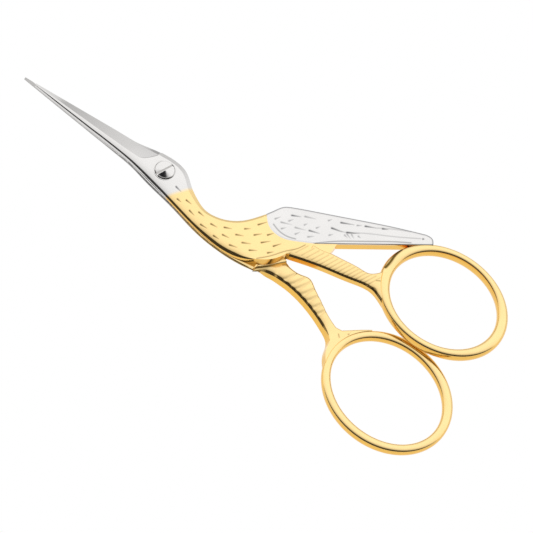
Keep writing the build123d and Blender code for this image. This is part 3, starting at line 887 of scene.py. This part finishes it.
def rear_leg_face(x, y, low_gap, high_gap):
    """The lower leg's face with its rounded edges and the row of notches on its outer side, with painted
    shade on the notch bands' slopes and a painted shadow under the rear pad.
    """
    shape, engraving = settings()[:2]
    start = REAR_LEG_UPPER[0][0] * shape.length
    band = np.zeros_like(x)
    first = on_leg(FIRST_NOTCH_PX)[0]
    spot = stroke(x, y, first, first * NEARLY, engraving.notch_width)
    for notch in NOTCHES_PX:
        near, away = on_leg([notch, np.add(notch, NOTCH_BAND_PX)])
        band = np.maximum(band, stroke(x, y, near, away, engraving.notch_width, NOTCH_TAPER))
        spot = np.maximum(spot, stroke(x, y, near, near * NEARLY, engraving.notch_width))
    bevel = by_length(x, REAR_EDGE_STATIONS) * shape.edge_bevel * (1 - NOTCH_BITE * spot)
    z = shape.leg_top - rolled_edge(low_gap, bevel)
    past_start = smooth((x - start) / (REAR_PAD_FADE_SHARE * shape.length))
    z = z - past_start * fillet(high_gap, shape.leg_rounding)
    z = z - engraving.notch_depth * band
    z = sink_into_ring(x, y, z, REAR_RING)
    # Painted shadow: the leg's face darkens along its upper edge, under the rear pad's wall.
    before_start = smooth((REAR_PAD_END_SHARE - x / shape.length) / REAR_PAD_FADE_SHARE)
    painted_shadow_under_pad = before_start * np.exp(-high_gap / engraving.stroke_width)
    marks = strokes(x, y, REAR_MARKS_PX, on_leg, engraving.line_width) * MARK_TINT_SHARE
    # Painted shade: the notch bands are darkened most on their slopes, where band times one less band is
    # greatest.
    return z, np.maximum(np.maximum(painted_shadow_under_pad, marks), band * (1 - band) * BAND_PAINTED_SHADE_SHARE)


def rear_gilding(x, y, z):
    """Bare steel on the blade, turning to gold along the neck."""
    start, end = on_face(REAR_GILDING_PX, settings()[0].lap)
    return smooth(x, start[0], end[0])


def all_gold(x, y, z):
    """Gold everywhere."""
    return np.ones_like(x)


def leg_foot(x):
    """How far the lower leg's outer wall stands out below, growing from the end of the lap."""
    return LEG_FOOT * smooth(x / settings()[0].length, *LEG_FOOT_SHARES)


def fresh_tree(owner):
    """The empty node tree of a material or a world."""
    owner.use_nodes = True
    owner.node_tree.nodes.clear()
    return owner.node_tree


def add_node(tree, kind, sockets=None, **node_settings):
    """A shader node, each of its sockets linked to another node's or set to a constant."""
    node = tree.nodes.new(kind)
    for name, value in node_settings.items():
        setattr(node, name, value)
    for socket, value in (sockets or {}).items():
        if isinstance(value, bpy.types.NodeSocket):
            tree.links.new(value, node.inputs[socket])
        else:
            node.inputs[socket].default_value = value
    return node


def noise(tree, place, scale, detail):
    """Soft noise over a place."""
    sockets = {"Vector": place, "Scale": scale, "Detail": detail}
    return add_node(tree, "ShaderNodeTexNoise", sockets).outputs["Fac"]


def ranged(tree, value, first, last, side="To"):
    """A share spread over the range from first to last, or with side From that range made a share."""
    sockets = {"Value": value, side + " Min": first, side + " Max": last}
    return add_node(tree, "ShaderNodeMapRange", sockets).outputs["Result"]


def mixed(tree, share, first, second):
    """The first colour where the share is 0, the second where it is 1."""
    sockets = {MIX_SHARE: share, MIX_FIRST: first, MIX_SECOND: second}
    return add_node(tree, "ShaderNodeMix", sockets, data_type="RGBA").outputs[MIX_RESULT]


def opaque(tint):
    """A colour with full alpha."""
    return (*tint, 1.0)


def metal(name):
    """Polished metal with faint wiping marks: gold by the gilding layer, a deeper painted reflection gold on
    walls, and dark by the engraving layer, which holds cuts and painted shade.
    """
    finish = settings()[2]
    material = bpy.data.materials.new(name)
    tree = fresh_tree(material)
    place = add_node(tree, "ShaderNodeTexCoord").outputs["Object"]
    stretched = add_node(tree, "ShaderNodeMapping", {"Vector": place, "Scale": WIPING_SCALE})
    wiping = noise(tree, stretched.outputs["Vector"], 1.0, WIPING_DETAIL)
    tone = ranged(tree, noise(tree, place, TONE_SCALE, TONE_DETAIL), *TONE_SHARES)
    gilding = add_node(tree, "ShaderNodeAttribute", attribute_name="gilding").outputs["Fac"]
    # The engraving layer holds both the cut ornament and painted shade; both darken towards the groove
    # colour.
    engraving = add_node(tree, "ShaderNodeAttribute", attribute_name="engraving").outputs["Fac"]
    normal = add_node(tree, "ShaderNodeNewGeometry").outputs["Normal"]
    upward = add_node(tree, "ShaderNodeSeparateXYZ", {"Vector": normal}).outputs["Z"]
    # Painted reflection: the more a surface stands upright, the more it takes the deeper wall gold.
    painted_reflection_share = ranged(tree, upward, *PAINTED_REFLECTION_FACING, side="From")
    plating_with_painted_reflection = mixed(tree, painted_reflection_share, opaque(finish.painted_reflection_gold), opaque(finish.gold))
    plain = mixed(tree, gilding, opaque(finish.steel), plating_with_painted_reflection)
    toned = add_node(tree, "ShaderNodeVectorMath", {0: plain, "Scale": tone}, operation="SCALE")
    # Groove colour: the colour of cuts, and also of painted shade and painted dark reflections.
    groove = mixed(tree, gilding, opaque(finish.steel_groove_and_painted_shade), opaque(finish.gold_groove_and_painted_shade))
    sockets = {"Height": wiping, "Strength": BUMP_STRENGTH, "Distance": BUMP_DEPTH}
    bump = add_node(tree, "ShaderNodeBump", sockets)
    surface = add_node(tree, "ShaderNodeBsdfPrincipled", {
        "Base Color": mixed(tree, engraving, toned.outputs["Vector"], groove),
        "Metallic": 1.0,
        "Roughness": ranged(tree, wiping, *(finish.polish * share for share in POLISH_SHARES)),
        "Normal": bump.outputs["Normal"],
    })
    add_node(tree, "ShaderNodeOutputMaterial", {"Surface": surface.outputs["BSDF"]})
    return material


def dress(pieces, material, body, node):
    """Gives pieces their material and their body, and hides the CAD node that they stand for."""
    for piece in pieces:
        piece.data.materials.append(material)
        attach(piece, body)
        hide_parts(node)


class SCISSORS_OT_front_half(Operator):
    """Front blade, head, neck, body, wing, upper leg, upper ring and the seat's rim."""

    bl_idname = "scissors.front_half"
    bl_label = "Front half"

    def execute(self, context):
        shape = settings()[0]
        low = border(FRONT_TIP, FRONT_SPINE, FRONT_THROAT, BODY_EDGE, FRONT_LEG_LOWER)
        high = border(FRONT_CUTTING_EDGE, HEAD_AND_BACK, WING_FRONT, FRONT_LEG_UPPER, LEG_IN_RING)
        ledge = border(LEDGE_LOW), border(LEDGE_TOP)
        wing_low = border(WING_FRONT, WING_UNDERSIDE)
        wing_high = border(SHOULDER, WING_TOP, WING_TIP)
        ring_bottom = shape.lap + shape.gap - RING_DROP
        names = ("front_blade", "stork_neck", "stork_body")
        pieces = [shell(name, low, high, body_face, front_underside, front_gilding) for name in names]
        pieces += [
            shell("upper_leg", low, high, body_face, front_underside, all_gold),
            shell("ledge", *ledge, ledge_face, front_underside, all_gold),
            shell("wing", wing_low, wing_high, wing_face, front_underside, wing_gilding),
            ring_surface("upper_ring", FRONT_RING, ring_bottom, shape.body_top, shaded=True),
            seat_rim(),
        ]
        dress(pieces, metal("gilt_and_polished_steel"), "front", "front_half")
        return {"FINISHED"}


class SCISSORS_OT_rear_half(Operator):
    """Rear blade and lap, lower leg, its knee and lower ring."""

    bl_idname = "scissors.rear_half"
    bl_label = "Rear half"

    def execute(self, context):
        shape = settings()[0]
        lap_low = border(REAR_STRIP, REAR_THROAT, PAD_EDGE)
        lap_high = border(REAR_SPINE, REAR_SHOULDER)
        leg_low = border(REAR_LEG_LOWER)
        leg_high = border(PAD_EDGE, REAR_LEG_UPPER, REAR_NICK, REAR_HUMP)
        knee_low = border(KNEE_IN_RING)
        pieces = [
            shell("rear_blade_and_lap", lap_low, lap_high, pad_face, rear_underside, rear_gilding),
            shell("lower_leg", leg_low, leg_high, rear_leg_face, rear_underside, all_gold, leg_foot),
            shell("lower_knee", knee_low, leg_high, rear_leg_face, rear_underside, all_gold),
            ring_surface("lower_ring", REAR_RING, 0.0, shape.leg_top),
        ]
        dress(pieces, metal("gilt_and_bare_steel"), "rear", "rear_half")
        return {"FINISHED"}


class SCISSORS_OT_screw(Operator):
    """Finish of the slotted screw, and its turned face."""

    bl_idname = "scissors.screw"
    bl_label = "Screw"

    def execute(self, context):
        material = metal("turned_steel")
        screw = frame["nodes"]["pivot_screw"]
        screw.data.materials.clear()
        screw.data.materials.append(material)
        for name, side in (("screw_face_near", -1), ("screw_face_far", 1)):
            piece = screw_face(name, side)
            piece.data.materials.append(material)
            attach(piece, "rear")
        return {"FINISHED"}


def sky():
    """Soft studio light: its brightness changes from the far horizon over the top to the camera's side."""
    world = bpy.data.worlds.new("studio")
    tree = fresh_tree(world)
    back = photo_camera()[0]
    flat = np.array([back[0], back[1], 0]) / np.hypot(back[0], back[1])
    place = add_node(tree, "ShaderNodeTexCoord").outputs["Generated"]
    height = add_node(tree, "ShaderNodeSeparateXYZ", {"Vector": place}).outputs["Z"]
    side = add_node(tree, "ShaderNodeVectorMath", {0: place, 1: tuple(flat)}, operation="DOT_PRODUCT")
    angle = add_node(tree, "ShaderNodeMath", {0: side.outputs["Value"], 1: height}, operation="ARCTAN2")
    turn = ranged(tree, angle.outputs["Value"], -math.pi / 2, math.pi / 2, side="From")
    ramp = add_node(tree, "ShaderNodeValToRGB", {"Fac": turn})
    ramp.color_ramp.interpolation = "LINEAR"
    while len(ramp.color_ramp.elements) < len(LIGHT_STATIONS):
        ramp.color_ramp.elements.new(RAMP_MIDDLE)
    for element, (degrees, value) in zip(ramp.color_ramp.elements, LIGHT_STATIONS):
        element.position = (degrees + HORIZON) / (2 * HORIZON)
        element.color = opaque((value, value, value))
    sockets = {0: ramp.outputs["Color"], 1: settings()[3].overhead}
    strength = add_node(tree, "ShaderNodeMath", sockets, operation="MULTIPLY").outputs["Value"]
    white = opaque((1.0, 1.0, 1.0))
    light = add_node(tree, "ShaderNodeBackground", {"Color": white, "Strength": strength})
    add_node(tree, "ShaderNodeOutputWorld", {"Surface": light.outputs["Background"]})
    bpy.context.scene.world = world


def floor():
    """A plain pale floor that glows just enough to stay white."""
    half = FLOOR_SIZE / 2
    corners = [(-half, -half), (half, -half), (half, half), (-half, half)]
    mesh = bpy.data.meshes.new("floor")
    mesh.from_pydata([(x, y, -FLOOR_DROP) for x, y in corners], [], [(0, 1, 2, 3)])
    piece = added("floor", mesh)
    material = bpy.data.materials.new("floor")
    tree = fresh_tree(material)
    glow = add_node(tree, "ShaderNodeEmission", {"Color": opaque(settings()[3].floor), "Strength": 1.0})
    add_node(tree, "ShaderNodeOutputMaterial", {"Surface": glow.outputs["Emission"]})
    mesh.materials.append(material)


def camera():
    """The photograph's camera."""
    back, right, up, place = photo_camera()
    data = bpy.data.cameras.new("camera")
    data.type = "PERSP"
    data.sensor_width = SENSOR
    data.lens = PIXELS_PER_METRE * VIEW_DISTANCE / PHOTO_PIXELS * SENSOR
    data.clip_start = VIEW_DISTANCE / CLIP_RATIO
    data.clip_end = VIEW_DISTANCE * CLIP_RATIO
    piece = added("camera", data)
    turn = Matrix([right, up, back]).transposed().to_4x4()
    piece.matrix_world = Matrix.Translation(Vector(place + SCREW_AXIS)) @ turn
    bpy.context.scene.camera = piece


class SCISSORS_OT_stage(Operator):
    """Floor, light and camera."""

    bl_idname = "scissors.stage"
    bl_label = "Stage"

    def execute(self, context):
        floor()
        sky()
        camera()
        context.scene.view_settings.view_transform = "Standard"
        return {"FINISHED"}


class SCISSORS_PT_panel(Panel):
    """Lists the pieces in the 3D view's sidebar."""

    bl_idname = "SCISSORS_PT_panel"
    bl_label = "Scissors"
    bl_space_type = "VIEW_3D"
    bl_region_type = "UI"
    bl_category = "Scissors"

    def draw(self, context):
        for operator in OPERATORS:
            self.layout.operator(operator.bl_idname)
        for name in GROUPS:
            group = getattr(context.scene, name)
            box = self.layout.box()
            for item in type(group).__annotations__:
                box.prop(group, item)


GROUPS = {
    "scissors_shape": ScissorsShape,
    "scissors_engraving": ScissorsEngraving,
    "scissors_finish": ScissorsFinish,
    "scissors_stage": ScissorsStage,
}
OPERATORS = [SCISSORS_OT_front_half, SCISSORS_OT_rear_half, SCISSORS_OT_screw, SCISSORS_OT_stage]


def register():
    """Adds the groups of settings, the operators and the panel."""
    for name, group in GROUPS.items():
        bpy.utils.register_class(group)
        setattr(bpy.types.Scene, name, PointerProperty(type=group))
    for item in (*OPERATORS, SCISSORS_PT_panel):
        bpy.utils.register_class(item)


def unregister():
    """Takes them away again, in the opposite order."""
    for item in (SCISSORS_PT_panel, *OPERATORS):
        bpy.utils.unregister_class(item)
    for name, group in GROUPS.items():
        delattr(bpy.types.Scene, name)
        bpy.utils.unregister_class(group)


def main():
    """Builds all pieces and the stage."""
    register()
    bpy.ops.scissors.front_half()
    bpy.ops.scissors.rear_half()
    bpy.ops.scissors.screw()
    bpy.ops.scissors.stage()


if __name__ == "__main__":
    main()
